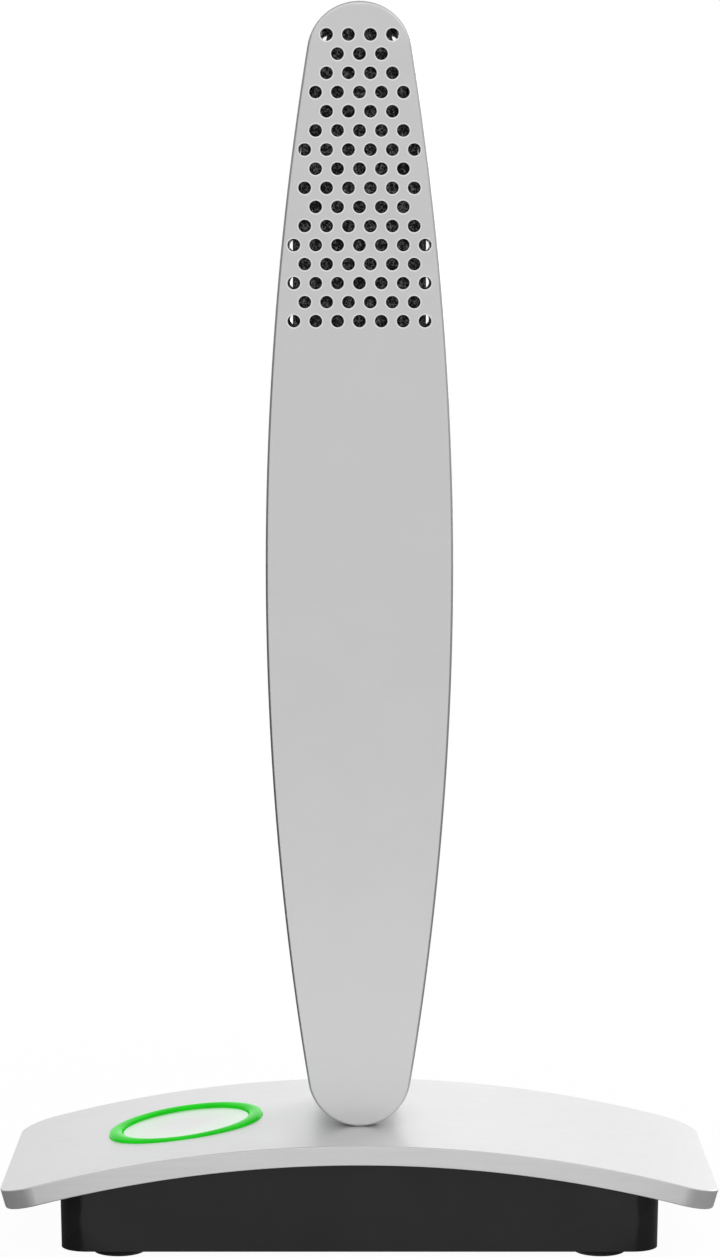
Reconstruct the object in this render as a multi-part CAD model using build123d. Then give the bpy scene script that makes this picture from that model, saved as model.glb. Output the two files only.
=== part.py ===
from build123d import *
from math import cos, degrees, radians, sin, sqrt, tan
import os

# Desktop microphone: a flat, lens-shaped upright with perforated faces stands on an arched
# plate, over a black tub that holds the electronics. A lit ring round a mute button is let
# into the left of the plate.
# Lengths are in millimetres. X is to the right, Y away from the speaker, Z up, floor at zero.

# Upright
upright_height = 182.0
upright_width = 30.24
upright_depth = 24.0
upright_end_radius = 8.42
panel_thickness = 1.5
panel_edge_break = 0.25
band_wall = 1.0

# Perforation: holes in rows staggered by 60 degrees, clipped to the outline.
# Each hole has eight sides with their corners on its circle, which reads as round from a step away.
hole_diameter = 2.0
hole_sides = 8
hole_pitch = 3.5
hole_land = 0.75
first_row_drop = 5.35
row_count = 16

# Foam behind the holes. Above its shoulders it tapers to a flat top.
foam_inset = 1.4
foam_width = 21.4
foam_length = 50.2
foam_top_width = 9.1
foam_top_drop = 3.2
foam_shoulder_drop = 25.9

# Capsule and its holder
capsule_diameter = 14.0
capsule_depth = 5.0
capsule_drop = 28.0
capsule_board_thickness = 1.0
holder_wall = 1.4
holder_back = 1.8
stalk_width = 7.0
stalk_depth = 5.0
stalk_seat_depth = 6.0

# Foot of the upright
foot_block_height = 22.0
upright_screw_spacing = 14.0
upright_screw_length = 12.0
upright_tap_depth = 10.0
spotface_depth = 0.3

# Lead from the capsule to the main board
lead_diameter = 1.6
lead_hole_diameter = 2.4
lead_solder_length = 4.0

# Arched plate
crown_height = 19.5
plate_width = 116.0
plate_depth = 52.0
plate_thickness = 3.2
arch_radius = 210.0
plate_corner_radius = 6.0
plate_edge_break = 0.3

# Tub
foot_lift = 1.5
housing_width = 96.5
housing_depth = 46.0
housing_corner_radius = 4.2
housing_wall = 2.0
housing_draft = 1.0
rib_thickness = 1.5

# Rubber feet, one under each corner screw
foot_diameter = 9.0
foot_recess_depth = 0.8
foot_edge_break = 0.4
foot_inset_x = 9.2
foot_inset_y = 7.0

# Corner screws and the standoffs that they pull down
counterbore_depth = 2.4
boss_floor = 2.0
boss_wall = 1.2
standoff_diameter = 6.0
standoff_tap_depth = 4.5
housing_screw_length = 6.0

# Screw sizes: M3 pan head and M2 pan head
m3_diameter = 3.0
m3_head_diameter = 5.6
m3_head_height = 2.0
m2_diameter = 2.0
m2_head_diameter = 3.8
m2_head_height = 1.2

# Ballast
ballast_gap = 0.9
ballast_thickness = 3.0
ballast_corner_radius = 3.0

# Main board
board_side_gap = 3.0
board_post_gap = 5.0
board_front_gap = 7.0
board_rear_gap = 2.0
board_thickness = 1.6
board_gap = 1.2
board_corner_radius = 1.5
board_boss_diameter = 4.5
board_hole_inset = 3.0
board_screw_length = 5.0

# Socket in the rear wall: the standard small oval one
socket_width = 8.94
socket_height = 3.26
socket_mouth_width = 8.34
socket_mouth_height = 2.56
socket_length = 7.3
tongue_width = 6.69
tongue_thickness = 0.7
tongue_length = 4.45
tongue_body_length = 1.4
port_lead_in = 0.5

# Parts on the main board
lead_connector_width = 7.5
lead_connector_depth = 4.5
lead_connector_height = 5.0
codec_size = 7.0
codec_height = 0.9
crystal_width = 3.2
crystal_depth = 2.5
crystal_height = 0.8
capacitor_diameter = 4.0
capacitor_height = 4.5
ribbon_width = 4.0
ribbon_offset = 5.6
ribbon_thickness = 0.3
ribbon_sag = 0.4
ribbon_connector_wall = 0.75
ribbon_connector_depth = 3.0
ribbon_connector_height = 1.2

# Lit ring and mute button, let into the plate. The inset is from the tub's left side.
button_inset = 19.25
ring_outer_diameter = 25.5
ring_band_width = 2.0
ring_rise = 0.4
ring_flange_width = 1.0
ring_flange_thickness = 0.8
ring_flange_gap = 0.1
ring_foot_length = 0.45
cap_rise = -0.2
cap_thickness = 1.2
cap_skirt_wall = 1.2
cap_edge_radius = 0.3
cap_tab_reach = 0.8
cap_tab_width = 2.5
cap_tab_thickness = 0.7
cap_tab_count = 4
cap_post_diameter = 4.0
button_travel = 0.5

# Board, lamps and switch under the button
lamp_count = 8
lamp_length = 1.6
lamp_width = 0.8
lamp_height = 0.6
lamp_gap = 1.0
button_board_diameter = 28.0
button_board_thickness = 1.0
switch_size = 6.0
switch_height = 2.2
plunger_diameter = 3.0
plunger_rise = 0.6
plunger_depth = 0.7
carrier_wall = 1.0
lug_width = 5.5
lug_neck = 2.0
lug_end = 2.4
carrier_screw_length = 6.0
carrier_tap_depth = 2.0

# Clearances and the overrun of cutting tools
running_clearance = 0.08
screw_clearance = 0.05
seat_clearance = 0.1
soft_clearance = 0.3
free_clearance = 0.5
overrun = 1.0

# Heights and places that follow from the sizes above
upright_centre = crown_height + upright_height / 2
band_depth = upright_depth - 2 * panel_thickness
arch_centre = crown_height - arch_radius
underside_radius = arch_radius - plate_thickness
underside_height = crown_height - plate_thickness
foot_block_top = crown_height + foot_block_height
foam_top = crown_height + upright_height - foam_top_drop
foam_shoulder = crown_height + upright_height - foam_shoulder_drop
foam_bottom = foam_top - foam_length
core_top = foam_bottom - soft_clearance
capsule_centre = crown_height + upright_height - capsule_drop
floor_top = foot_lift + housing_wall
ballast_top = floor_top + ballast_thickness
board_bottom = ballast_top + board_gap
board_top = board_bottom + board_thickness
socket_centre = board_top + socket_height / 2
boss_shelf = foot_lift + foot_recess_depth + counterbore_depth
boss_top = boss_shelf + boss_floor
boss_diameter = m3_head_diameter + 2 * (seat_clearance + boss_wall)
m3_hole_diameter = m3_diameter + 2 * screw_clearance
m2_hole_diameter = m2_diameter + 2 * screw_clearance
ring_inner_diameter = ring_outer_diameter - 2 * ring_band_width

# Places in the tub, seen from above
button_arc_offset = housing_width / 2 - button_inset
foot_spacing_x = housing_width - 2 * foot_inset_x
foot_spacing_y = housing_depth - 2 * foot_inset_y
ballast_width = foot_spacing_x - boss_diameter - 2 * ballast_gap
ballast_depth = housing_depth - 2 * (housing_wall + ballast_gap)
board_left = button_board_diameter / 2 + board_side_gap - button_arc_offset
board_right = (foot_spacing_x - standoff_diameter) / 2 - board_post_gap
board_front = board_front_gap + housing_wall - housing_depth / 2
board_rear = housing_depth / 2 - housing_wall - board_rear_gap
board_width = board_right - board_left
board_depth = board_rear - board_front
board_offset_x = (board_right + board_left) / 2
board_offset_y = (board_rear + board_front) / 2
board_hole_front = board_front + board_hole_inset
board_hole_rear = housing_depth / 2 - socket_length - m2_head_diameter / 2 - free_clearance
board_hole_spacing_x = board_width - 2 * board_hole_inset
board_hole_spacing_y = board_hole_rear - board_hole_front
ribbon_connector_width = ribbon_width + 2 * ribbon_connector_wall

# Depths under the plate's surface, measured square to it at the middle of the button
ring_flange_top = plate_thickness + ring_outer_diameter ** 2 / (8 * underside_radius) + ring_flange_gap
ring_bottom = ring_flange_top + ring_flange_thickness + ring_foot_length
lamp_top = ring_bottom + lamp_gap
button_board_top = lamp_top + lamp_height
button_board_bottom = button_board_top + button_board_thickness
switch_top = button_board_top - switch_height
plunger_top = switch_top - plunger_rise
carrier_diameter = ring_outer_diameter + 2 * (ring_flange_width + seat_clearance + carrier_wall)
lug_hole_offset = carrier_diameter / 2 + lug_neck
lug_reach = lug_hole_offset + lug_end


def block(x_range, y_range, z_range):
    """A box from its limits along each axis."""
    size = [limits[1] - limits[0] for limits in (x_range, y_range, z_range)]
    centre = [(limits[1] + limits[0]) / 2 for limits in (x_range, y_range, z_range)]
    return Pos(*centre) * Box(*size)


def post(diameter, bottom, top):
    """A round post or hole along Z between two heights."""
    return Pos(0, 0, (bottom + top) / 2) * Cylinder(diameter / 2, top - bottom)


def at_grid(spacing_x, spacing_y):
    """The four corner places of a rectangle about the origin."""
    return GridLocations(spacing_x, spacing_y, 2, 2).locations


def screw(diameter, head_diameter, head_height, length):
    """A screw that points up: its head hangs below the origin, which is the seat."""
    return post(head_diameter, -head_height, 0) + post(diameter, 0, length)


def m3_screw(length):
    return screw(m3_diameter, m3_head_diameter, m3_head_height, length)


def m2_screw(length):
    return screw(m2_diameter, m2_head_diameter, m2_head_height, length)


# Upright

def outline_sizes(inset):
    """Half width, half height, end radius, and the side arcs' radius and join to the end arcs."""
    half_width = upright_width / 2 - inset
    half_height = upright_height / 2 - inset
    end_radius = upright_end_radius - inset
    end_centre = half_height - end_radius
    side_radius = (half_width ** 2 + end_centre ** 2 - end_radius ** 2) / (2 * (half_width - end_radius))
    reach = end_radius / (side_radius - end_radius)
    join = ((side_radius - half_width) * reach, end_centre * (1 + reach))
    return half_width, half_height, end_radius, side_radius, join


def upright_outline(inset):
    """The lens outline in the XZ plane, drawn in by an inset."""
    half_width, half_height, _, _, (join_x, join_z) = outline_sizes(inset)
    right = ThreePointArc((join_x, -join_z), (half_width, 0), (join_x, join_z))
    top = ThreePointArc((join_x, join_z), (0, half_height), (-join_x, join_z))
    left = ThreePointArc((-join_x, join_z), (-half_width, 0), (-join_x, -join_z))
    bottom = ThreePointArc((-join_x, -join_z), (0, -half_height), (join_x, -join_z))
    return Pos(0, upright_centre) * make_face(Curve() + [right, top, left, bottom])


def upright_prism(inset, depth):
    """The outline given a depth, centred front to back."""
    return extrude(Plane.XZ * upright_outline(inset), amount=depth / 2, both=True)


def half_width_at(drop):
    """Half the upright's width at a drop below its top."""
    half_width, half_height, end_radius, side_radius, join = outline_sizes(0)
    above_centre = half_height - drop
    if above_centre > join[1]:
        return sqrt(end_radius ** 2 - (end_radius - drop) ** 2)
    return sqrt(side_radius ** 2 - above_centre ** 2) - (side_radius - half_width)


def hole_places():
    """Every hole's place in the face, row by row from the top."""
    row_spacing = hole_pitch * sin(radians(60))
    places = []
    for row in range(row_count):
        drop = first_row_drop + row * row_spacing
        room = half_width_at(drop) - hole_land - hole_diameter / 2
        start = hole_pitch / 2 if row % 2 == 0 else 0
        steps = int((room - start) // hole_pitch)
        for step in range(steps + 1):
            side = start + step * hole_pitch
            height = crown_height + upright_height - drop
            places.append((side, height))
            if side > 0:
                places.append((-side, height))
    return places


def front_panel():
    """The front face: the outline pierced by the holes, with its outer edge broken."""
    rim = upright_outline(0).face().outer_wire()
    hole = RegularPolygon(hole_diameter / 2, hole_sides).wire()
    holes = [Pos(*place) * hole for place in hole_places()]
    panel = extrude(Plane.XZ * Face(rim, holes), amount=panel_thickness)
    front = panel.faces().sort_by(Axis.Y)[0]
    return Pos(0, -band_depth / 2, 0) * chamfer(front.outer_wire().edges(), panel_edge_break)


def rear_panel():
    """The same panel turned to face the rear."""
    return Rot(0, 0, 180) * front_panel()


def bottom_holes(screw_hole_diameter, bottom, top):
    """The two screw holes and the lead hole on the upright's centre line."""
    screw_hole = post(screw_hole_diameter, bottom, top)
    holes = post(lead_hole_diameter, bottom, top)
    for place in GridLocations(0, upright_screw_spacing, 1, 2):
        holes += place * screw_hole
    return holes


def side_band():
    """The closed wall between the two panels."""
    band = upright_prism(0, band_depth) - upright_prism(band_wall, band_depth + overrun)
    low = crown_height - overrun
    high = crown_height + band_wall + overrun
    return band - bottom_holes(m3_hole_diameter, low, high)


def foot_block():
    """Cast block inside the round bottom, which the two screws pull down."""
    outline = upright_prism(band_wall + seat_clearance, band_depth - 2 * seat_clearance)
    half_width = upright_width / 2
    block_range = (crown_height, foot_block_top)
    casting = outline & block((-half_width, half_width), (-upright_depth, upright_depth), block_range)
    lead_hole = post(lead_hole_diameter, crown_height, foot_block_top + overrun)
    tapped = post(m3_hole_diameter, crown_height, crown_height + band_wall + upright_tap_depth)
    casting -= lead_hole
    for place in GridLocations(0, upright_screw_spacing, 1, 2):
        casting -= place * tapped
    return casting


def core_moulding():
    """Moulding that fills the shaft, with a groove at the back for the lead."""
    outline = upright_prism(band_wall + soft_clearance, band_depth - 2 * soft_clearance)
    half_width = upright_width / 2
    span = (foot_block_top, core_top)
    moulding = outline & block((-half_width, half_width), (-upright_depth, upright_depth), span)
    half_hole = lead_hole_diameter / 2
    over_span = (foot_block_top - overrun, core_top + overrun)
    moulding -= block((-half_hole, half_hole), (-half_hole, upright_depth), over_span)
    seat = stalk_section(seat_clearance, core_top - stalk_seat_depth, core_top + overrun)
    return moulding - seat


def stalk_section(grown, bottom, top):
    """The stalk's section, grown by a clearance all round."""
    half_width = stalk_width / 2 + grown
    half_depth = stalk_depth / 2 + grown
    return block((-half_width, half_width), (-half_depth, half_depth), (bottom, top))


def capsule_barrel(diameter, front, back):
    """A round piece facing the speaker, about the middle of the capsule."""
    barrel = Cylinder(diameter / 2, back - front)
    return Pos(0, (front + back) / 2, capsule_centre) * Rot(90, 0, 0) * barrel


def capsule_places():
    """Front of the capsule, front and back of its board, along Y."""
    board_back = -lead_diameter / 2 - screw_clearance
    board_front = board_back - capsule_board_thickness
    return board_front - capsule_depth, board_front, board_back


def microphone_capsule():
    front, board_front, _ = capsule_places()
    return capsule_barrel(capsule_diameter, front, board_front)


def capsule_board():
    _, board_front, board_back = capsule_places()
    return capsule_barrel(capsule_diameter, board_front, board_back)


def holder_form(grown):
    """The holder's outside, grown by a clearance: a barrel on a stalk."""
    front, _, _ = capsule_places()
    diameter = capsule_diameter + 2 * (screw_clearance + holder_wall + grown)
    barrel = capsule_barrel(diameter, front - grown, holder_back + grown)
    stalk = stalk_section(grown, core_top - stalk_seat_depth, capsule_centre)
    return barrel + stalk


def capsule_holder():
    """Barrel for the capsule and its board, on a stalk that plugs into the core."""
    front, _, board_back = capsule_places()
    pocket = capsule_barrel(capsule_diameter + 2 * screw_clearance, front - overrun, board_back)
    window = capsule_barrel(capsule_diameter - 2 * holder_wall, board_back, holder_back + overrun)
    groove_top = capsule_centre - capsule_diameter / 2 + 2 * holder_wall
    groove_bottom = core_top - stalk_seat_depth - overrun
    half_hole = lead_hole_diameter / 2
    groove = block((-half_hole, half_hole), (-half_hole, stalk_depth), (groove_bottom, groove_top))
    return holder_form(0) - pocket - window - groove


def foam_windscreen():
    """Foam block behind the holes, with a hollow for the holder."""
    depth = band_depth - 2 * soft_clearance
    half_width = foam_width / 2
    right = [(half_width, foam_bottom), (half_width, foam_shoulder), (foam_top_width / 2, foam_top)]
    left = [(-side, height) for side, height in reversed(right)]
    outline = make_face(Polyline(*right, *left, close=True))
    tapered = extrude(Plane.XZ * outline, amount=depth / 2, both=True)
    return (tapered & upright_prism(foam_inset, depth)) - holder_form(soft_clearance)


def microphone_lead():
    """Screened lead, straight down the middle of the upright into its connector."""
    top = capsule_centre - capsule_diameter / 2 + lead_solder_length
    return post(lead_diameter, board_top + lead_connector_height, top)


def upright_screws():
    """Two screws up through the plate and the band into the foot block."""
    seat = underside_height + spotface_depth
    places = GridLocations(0, upright_screw_spacing, 1, 2)
    return [Pos(0, 0, seat) * place * m3_screw(upright_screw_length) for place in places]


# Arched plate

def arch_cylinder(radius):
    """All that lies inside a radius about the arch's centre line."""
    return Pos(0, 0, arch_centre) * Rot(90, 0, 0) * Cylinder(radius, plate_depth + 2 * overrun)


def on_plate(arc_offset):
    """A place on the plate's surface, with its own Z square to the surface."""
    turn = Rot(0, degrees(arc_offset / arch_radius), 0)
    return Pos(0, 0, arch_centre) * turn * Pos(0, 0, arch_radius)


button_place = on_plate(-button_arc_offset)


def carrier_screw_places():
    """The two lug screws, in front of and behind the button."""
    return [Pos(0, -lug_hole_offset, 0), Pos(0, lug_hole_offset, 0)]


def plate_blank():
    """The bent sheet with rounded corners and broken edges."""
    half_turn = (plate_width / 2) / arch_radius
    rise = sqrt(1 - half_turn ** 2)
    outer_end = (arch_radius * half_turn, arch_radius * rise)
    inner_end = (underside_radius * half_turn, underside_radius * rise)
    outer = ThreePointArc((-outer_end[0], outer_end[1]), (0, arch_radius), outer_end)
    inner = ThreePointArc((-inner_end[0], inner_end[1]), (0, underside_radius), inner_end)
    right = Line(inner_end, outer_end)
    left = Line((-inner_end[0], inner_end[1]), (-outer_end[0], outer_end[1]))
    section = Pos(0, arch_centre) * make_face(Curve() + [outer, right, inner, left])
    sheet = extrude(Plane.XZ * section, amount=plate_depth / 2, both=True)
    corners = [edge for edge in sheet.edges().filter_by(GeomType.LINE)
               if edge.length < 2 * plate_thickness]
    sheet = fillet(corners, plate_corner_radius)
    rims = [edge for edge in sheet.edges()
            if edge.geom_type != GeomType.LINE or edge.length > plate_corner_radius]
    return chamfer(rims, plate_edge_break)


def base_plate():
    """The plate with the ring's hole, the upright's holes and blind tapped holes."""
    plate = plate_blank()
    ring_hole = post(ring_outer_diameter + 2 * seat_clearance, -plate_thickness - overrun, overrun)
    tapped = post(m2_hole_diameter, -plate_thickness - overrun, carrier_tap_depth - plate_thickness)
    plate -= button_place * ring_hole
    for place in carrier_screw_places():
        plate -= button_place * place * tapped
    low = underside_height - overrun
    plate -= bottom_holes(m3_hole_diameter, low, crown_height + overrun)
    spotface = post(m3_head_diameter + 2 * seat_clearance, low, underside_height + spotface_depth)
    for place in GridLocations(0, upright_screw_spacing, 1, 2):
        plate -= place * spotface
    return plate


def plate_standoffs():
    """Four round standoffs welded to the underside, tapped from below."""
    pieces = []
    for place in at_grid(foot_spacing_x, foot_spacing_y):
        pillar = place * post(standoff_diameter, boss_top, crown_height)
        pillar = pillar & arch_cylinder(underside_radius)
        pieces.append(pillar - place * post(m3_hole_diameter, boss_top, boss_top + standoff_tap_depth))
    return pieces


# Tub

def tub_form(inset, bottom):
    """The tub's tapered form from a height up past the plate, drawn in by an inset."""
    grown = 2 * (bottom - foot_lift) * tan(radians(housing_draft)) - 2 * inset
    corner = max(housing_corner_radius - inset, ballast_corner_radius / 2)
    outline = RectangleRounded(housing_width + grown, housing_depth + grown, corner)
    return extrude(Pos(0, 0, bottom) * outline, amount=crown_height - bottom, taper=-housing_draft)


def corner_boss(place):
    """A boss for a corner screw, with ribs that tie it to the two walls."""
    centre = place.position
    pillar = place * post(boss_diameter, foot_lift, boss_top)
    half_rib = rib_thickness / 2
    out_x = centre.X + (housing_width if centre.X > 0 else -housing_width)
    out_y = centre.Y + (housing_depth if centre.Y > 0 else -housing_depth)
    span = (foot_lift, boss_top)
    side_rib = block(sorted((centre.X, out_x)), (centre.Y - half_rib, centre.Y + half_rib), span)
    end_rib = block((centre.X - half_rib, centre.X + half_rib), sorted((centre.Y, out_y)), span)
    return pillar + side_rib + end_rib


def corner_bore(place):
    """The foot's recess, the screw head's counterbore and the screw's hole."""
    recess = post(foot_diameter + 2 * seat_clearance, foot_lift - overrun, foot_lift + foot_recess_depth)
    counterbore = post(m3_head_diameter + 2 * seat_clearance, foot_lift, boss_shelf)
    hole = post(m3_hole_diameter, foot_lift, boss_top + overrun)
    return place * (recess + counterbore + hole)


def board_places():
    """The four screw places of the main board, the rear pair just ahead of the socket."""
    grid = at_grid(board_hole_spacing_x, board_hole_spacing_y)
    middle = (board_hole_rear + board_hole_front) / 2
    return [Pos(board_offset_x, middle, 0) * place for place in grid]


def port_cut():
    """The socket's oval opening in the rear wall, with a lead-in on the outside."""
    grown = 2 * seat_clearance
    oval = SlotOverall(socket_width + grown, socket_height + grown)
    wide = SlotOverall(socket_width + grown + 2 * port_lead_in, socket_height + grown + 2 * port_lead_in)
    facing = Pos(0, housing_depth / 2, socket_centre) * Rot(-90, 0, 0)
    hole = extrude(oval, amount=housing_wall + overrun, both=True)
    mouth = loft([oval, Pos(0, 0, 2 * port_lead_in) * wide])
    return facing * (hole + mouth)


def base_housing():
    """Open tub whose rim follows the underside of the plate."""
    outer = tub_form(0, foot_lift) & arch_cylinder(underside_radius - seat_clearance)
    tub = outer - tub_form(housing_wall, floor_top)
    for place in at_grid(foot_spacing_x, foot_spacing_y):
        tub += corner_boss(place) & outer
        tub -= corner_bore(place)
    for place in board_places():
        tub += place * post(board_boss_diameter, foot_lift + housing_wall / 2, board_bottom)
        tub -= place * post(m2_hole_diameter, floor_top, board_bottom + overrun)
    return tub - port_cut()


def housing_screws():
    """Four corner screws, hidden by the feet."""
    places = at_grid(foot_spacing_x, foot_spacing_y)
    return [Pos(0, 0, boss_shelf) * place * m3_screw(housing_screw_length) for place in places]


def rubber_foot(place):
    """A round foot stuck in its recess, with its lower edge broken."""
    pad = post(foot_diameter, 0, foot_lift + foot_recess_depth)
    lower_edge = pad.edges().filter_by(GeomType.CIRCLE).sort_by(Axis.Z)[0]
    return place * chamfer(lower_edge, foot_edge_break)


def ballast_weight():
    """Steel plate on the tub's floor, pierced by the board's bosses."""
    outline = RectangleRounded(ballast_width, ballast_depth, ballast_corner_radius)
    plate = extrude(Pos(0, 0, floor_top) * outline, amount=ballast_thickness)
    hole = post(board_boss_diameter + 2 * free_clearance, floor_top - overrun, ballast_top + overrun)
    for place in board_places():
        plate -= place * hole
    return plate


# Main board

def main_board():
    outline = RectangleRounded(board_width, board_depth, board_corner_radius)
    board = extrude(Pos(board_offset_x, board_offset_y, board_bottom) * outline, amount=board_thickness)
    for place in board_places():
        board -= place * post(m2_hole_diameter, board_bottom - overrun, board_top + overrun)
    return board


def board_screws():
    """Four small screws down into the bosses."""
    down = Pos(0, 0, board_top) * Rot(180, 0, 0) * m2_screw(board_screw_length)
    return [place * down for place in board_places()]


def facing_rear(outline, front, back):
    """A section in the socket's mouth plane, given a length along Y."""
    plane = Plane((0, back, socket_centre), x_dir=(1, 0, 0), z_dir=(0, -1, 0))
    return extrude(plane * outline, amount=back - front)


def usb_socket():
    """The folded steel shell, open at the rear."""
    back = housing_depth / 2
    shell = facing_rear(SlotOverall(socket_width, socket_height), back - socket_length, back)
    wall = (socket_height - socket_mouth_height) / 2
    mouth = SlotOverall(socket_mouth_width, socket_mouth_height)
    return shell - facing_rear(mouth, back - socket_length + wall, back + overrun)


def usb_tongue():
    """The moulded insulator with its tongue."""
    wall = (socket_height - socket_mouth_height) / 2
    front = housing_depth / 2 - socket_length + wall
    grown = -2 * screw_clearance
    plug = SlotOverall(socket_mouth_width + grown, socket_mouth_height + grown)
    body = facing_rear(plug, front, front + tongue_body_length)
    tongue = Rectangle(tongue_width, tongue_thickness)
    return body + facing_rear(tongue, front, front + tongue_body_length + tongue_length)


def on_board(width, depth, height, x, y):
    """A block soldered to the top of the main board."""
    return Pos(x, y, board_top + height / 2) * Box(width, depth, height)


def lead_connector():
    return on_board(lead_connector_width, lead_connector_depth, lead_connector_height, 0, 0)


def codec_chip():
    chip = on_board(codec_size, codec_size, codec_height, board_offset_x + codec_size, board_offset_y)
    return chip


def board_components():
    """Crystal and two capacitors beside the chip."""
    x = board_offset_x + codec_size
    beside = codec_size + crystal_depth / 2
    crystal = on_board(crystal_width, crystal_depth, crystal_height, x, board_offset_y - beside)
    can = post(capacitor_diameter, board_top, board_top + capacitor_height)
    can = Pos(x + codec_size, board_offset_y, 0) * can
    cans = [Pos(0, side * capacitor_diameter, 0) * can for side in (-1, 1)]
    return [crystal] + cans


def main_ribbon_connector():
    """Flat connector at the board's left edge."""
    x = board_left + ribbon_connector_depth / 2
    size = (ribbon_connector_depth, ribbon_connector_width, ribbon_connector_height)
    return on_board(*size, x, -ribbon_offset)


# Button, lit ring and their board, drawn about the button's own axis with Z out of the plate

def light_ring():
    """Clear ring: a round bead above the plate, a wall through it and a flange below."""
    outer = ring_outer_diameter / 2
    inner = ring_inner_diameter / 2
    flange = outer + ring_flange_width
    middle = (outer + inner) / 2
    shoulder = ring_rise / 3
    bead = ThreePointArc((inner, shoulder), (middle, ring_rise), (outer, shoulder))
    flange_bottom = ring_flange_top + ring_flange_thickness
    outline = [(outer, shoulder), (outer, -ring_flange_top), (flange, -ring_flange_top),
               (flange, -flange_bottom), (outer, -flange_bottom), (outer, -ring_bottom),
               (inner, -ring_bottom), (inner, shoulder)]
    section = Plane.XZ * make_face(Curve() + [bead, Polyline(outline)])
    return button_place * revolve(section, Axis.Z)


def button_carrier():
    """Moulded frame screwed under the plate: it lifts the ring and holds the board."""
    ledge_top = -(ring_flange_top + ring_flange_thickness)
    lugs = SlotOverall(2 * lug_reach, lug_width)
    body = post(carrier_diameter, -button_board_top, 0)
    body += extrude(Pos(0, 0, -button_board_top) * Rot(0, 0, 90) * lugs, amount=button_board_top)
    bore = ring_outer_diameter + 2 * seat_clearance
    body -= post(bore, -button_board_top - overrun, overrun)
    body -= post(bore + 2 * ring_flange_width, ledge_top, overrun)
    for place in carrier_screw_places():
        body -= place * post(m2_hole_diameter, -button_board_top - overrun, overrun)
    carrier = (button_place * body) & arch_cylinder(underside_radius - seat_clearance)
    standoff_room = post(standoff_diameter + 2 * free_clearance, boss_top, crown_height)
    for place in at_grid(foot_spacing_x, foot_spacing_y):
        carrier -= place * standoff_room
    return carrier


def button_board():
    """Round board with two ears, under the carrier."""
    ears = Rot(0, 0, 90) * SlotOverall(2 * lug_reach, lug_width)
    outline = Circle(button_board_diameter / 2) + ears
    board = extrude(Pos(0, 0, -button_board_bottom) * outline, amount=button_board_thickness)
    for place in carrier_screw_places():
        board -= place * post(m2_hole_diameter, -button_board_bottom - overrun, 0)
    return button_place * board


def carrier_screws():
    """Two small screws up through the board and the carrier into the plate."""
    raised = Pos(0, 0, -button_board_bottom) * m2_screw(carrier_screw_length)
    return [button_place * place * raised for place in carrier_screw_places()]


def ring_lamps():
    """Lamps on the board, under the middle of the ring's wall."""
    radius = (ring_outer_diameter + ring_inner_diameter) / 4
    middle = -button_board_top + lamp_height / 2
    lamp = Pos(0, 0, middle) * Box(lamp_width, lamp_length, lamp_height)
    return [button_place * place * lamp for place in PolarLocations(radius, lamp_count)]


def switch_body():
    """The small push switch in the middle of the board."""
    middle = -(button_board_top + switch_top) / 2
    body = Pos(0, 0, middle) * Box(switch_size, switch_size, switch_height)
    hole_bottom = -(switch_top + plunger_depth + button_travel + running_clearance)
    hole = post(plunger_diameter + 2 * running_clearance, hole_bottom, 0)
    return button_place * (body - hole)


def switch_plunger():
    """The switch's plunger, which the button pushes in."""
    return button_place * post(plunger_diameter, -(switch_top + plunger_depth), -plunger_top)


def mute_button_cap():
    """The cap: a disc with a skirt, a middle post and four tabs that stop under the ring."""
    radius = ring_inner_diameter / 2 - running_clearance
    tab_top = -(ring_bottom + running_clearance)
    tab_bottom = tab_top - cap_tab_thickness
    disc = post(2 * radius, tab_bottom, cap_rise)
    top_edge = disc.edges().filter_by(GeomType.CIRCLE).sort_by(Axis.Z)[-1]
    cap = fillet(top_edge, cap_edge_radius)
    cap -= post(2 * (radius - cap_skirt_wall), tab_bottom - overrun, cap_rise - cap_thickness)
    cap += post(cap_post_diameter, -plunger_top, cap_rise - cap_thickness)
    inner_edge = radius - cap_skirt_wall / 2
    half_tab = cap_tab_width / 2
    tab = block((inner_edge, radius + cap_tab_reach), (-half_tab, half_tab), (tab_bottom, tab_top))
    half_step = 180 / lamp_count
    for place in PolarLocations(0, cap_tab_count, start_angle=half_step):
        cap += place * tab
    return button_place * cap


def ribbon_mouth():
    """Where the flat cable leaves the connector under the button's round board."""
    far_side = ribbon_offset + ribbon_connector_width / 2
    x = sqrt((button_board_diameter / 2) ** 2 - far_side ** 2)
    return Pos(x, -ribbon_offset, -button_board_bottom - ribbon_connector_height / 2)


def board_ribbon_connector():
    """Flat connector under the button's board, its mouth towards the main board."""
    connector = Box(ribbon_connector_depth, ribbon_connector_width, ribbon_connector_height)
    return button_place * ribbon_mouth() * Pos(-ribbon_connector_depth / 2, 0, 0) * connector


def button_ribbon():
    """Short flat cable between the two connectors, with a slight sag."""
    mouth = (button_place * ribbon_mouth()).position
    start_x = mouth.X + seat_clearance
    end_x = board_left - seat_clearance
    end_z = board_top + ribbon_connector_height / 2
    half = ribbon_thickness / 2
    upper = SagittaArc((start_x, mouth.Z + half), (end_x, end_z + half), -ribbon_sag)
    lower = SagittaArc((start_x, mouth.Z - half), (end_x, end_z - half), -ribbon_sag)
    left = Line((start_x, mouth.Z - half), (start_x, mouth.Z + half))
    right = Line((end_x, end_z - half), (end_x, end_z + half))
    strip = Plane.XZ * make_face(Curve() + [upper, right, lower, left])
    return Pos(0, -ribbon_offset, 0) * extrude(strip, amount=ribbon_width / 2, both=True)


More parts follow.
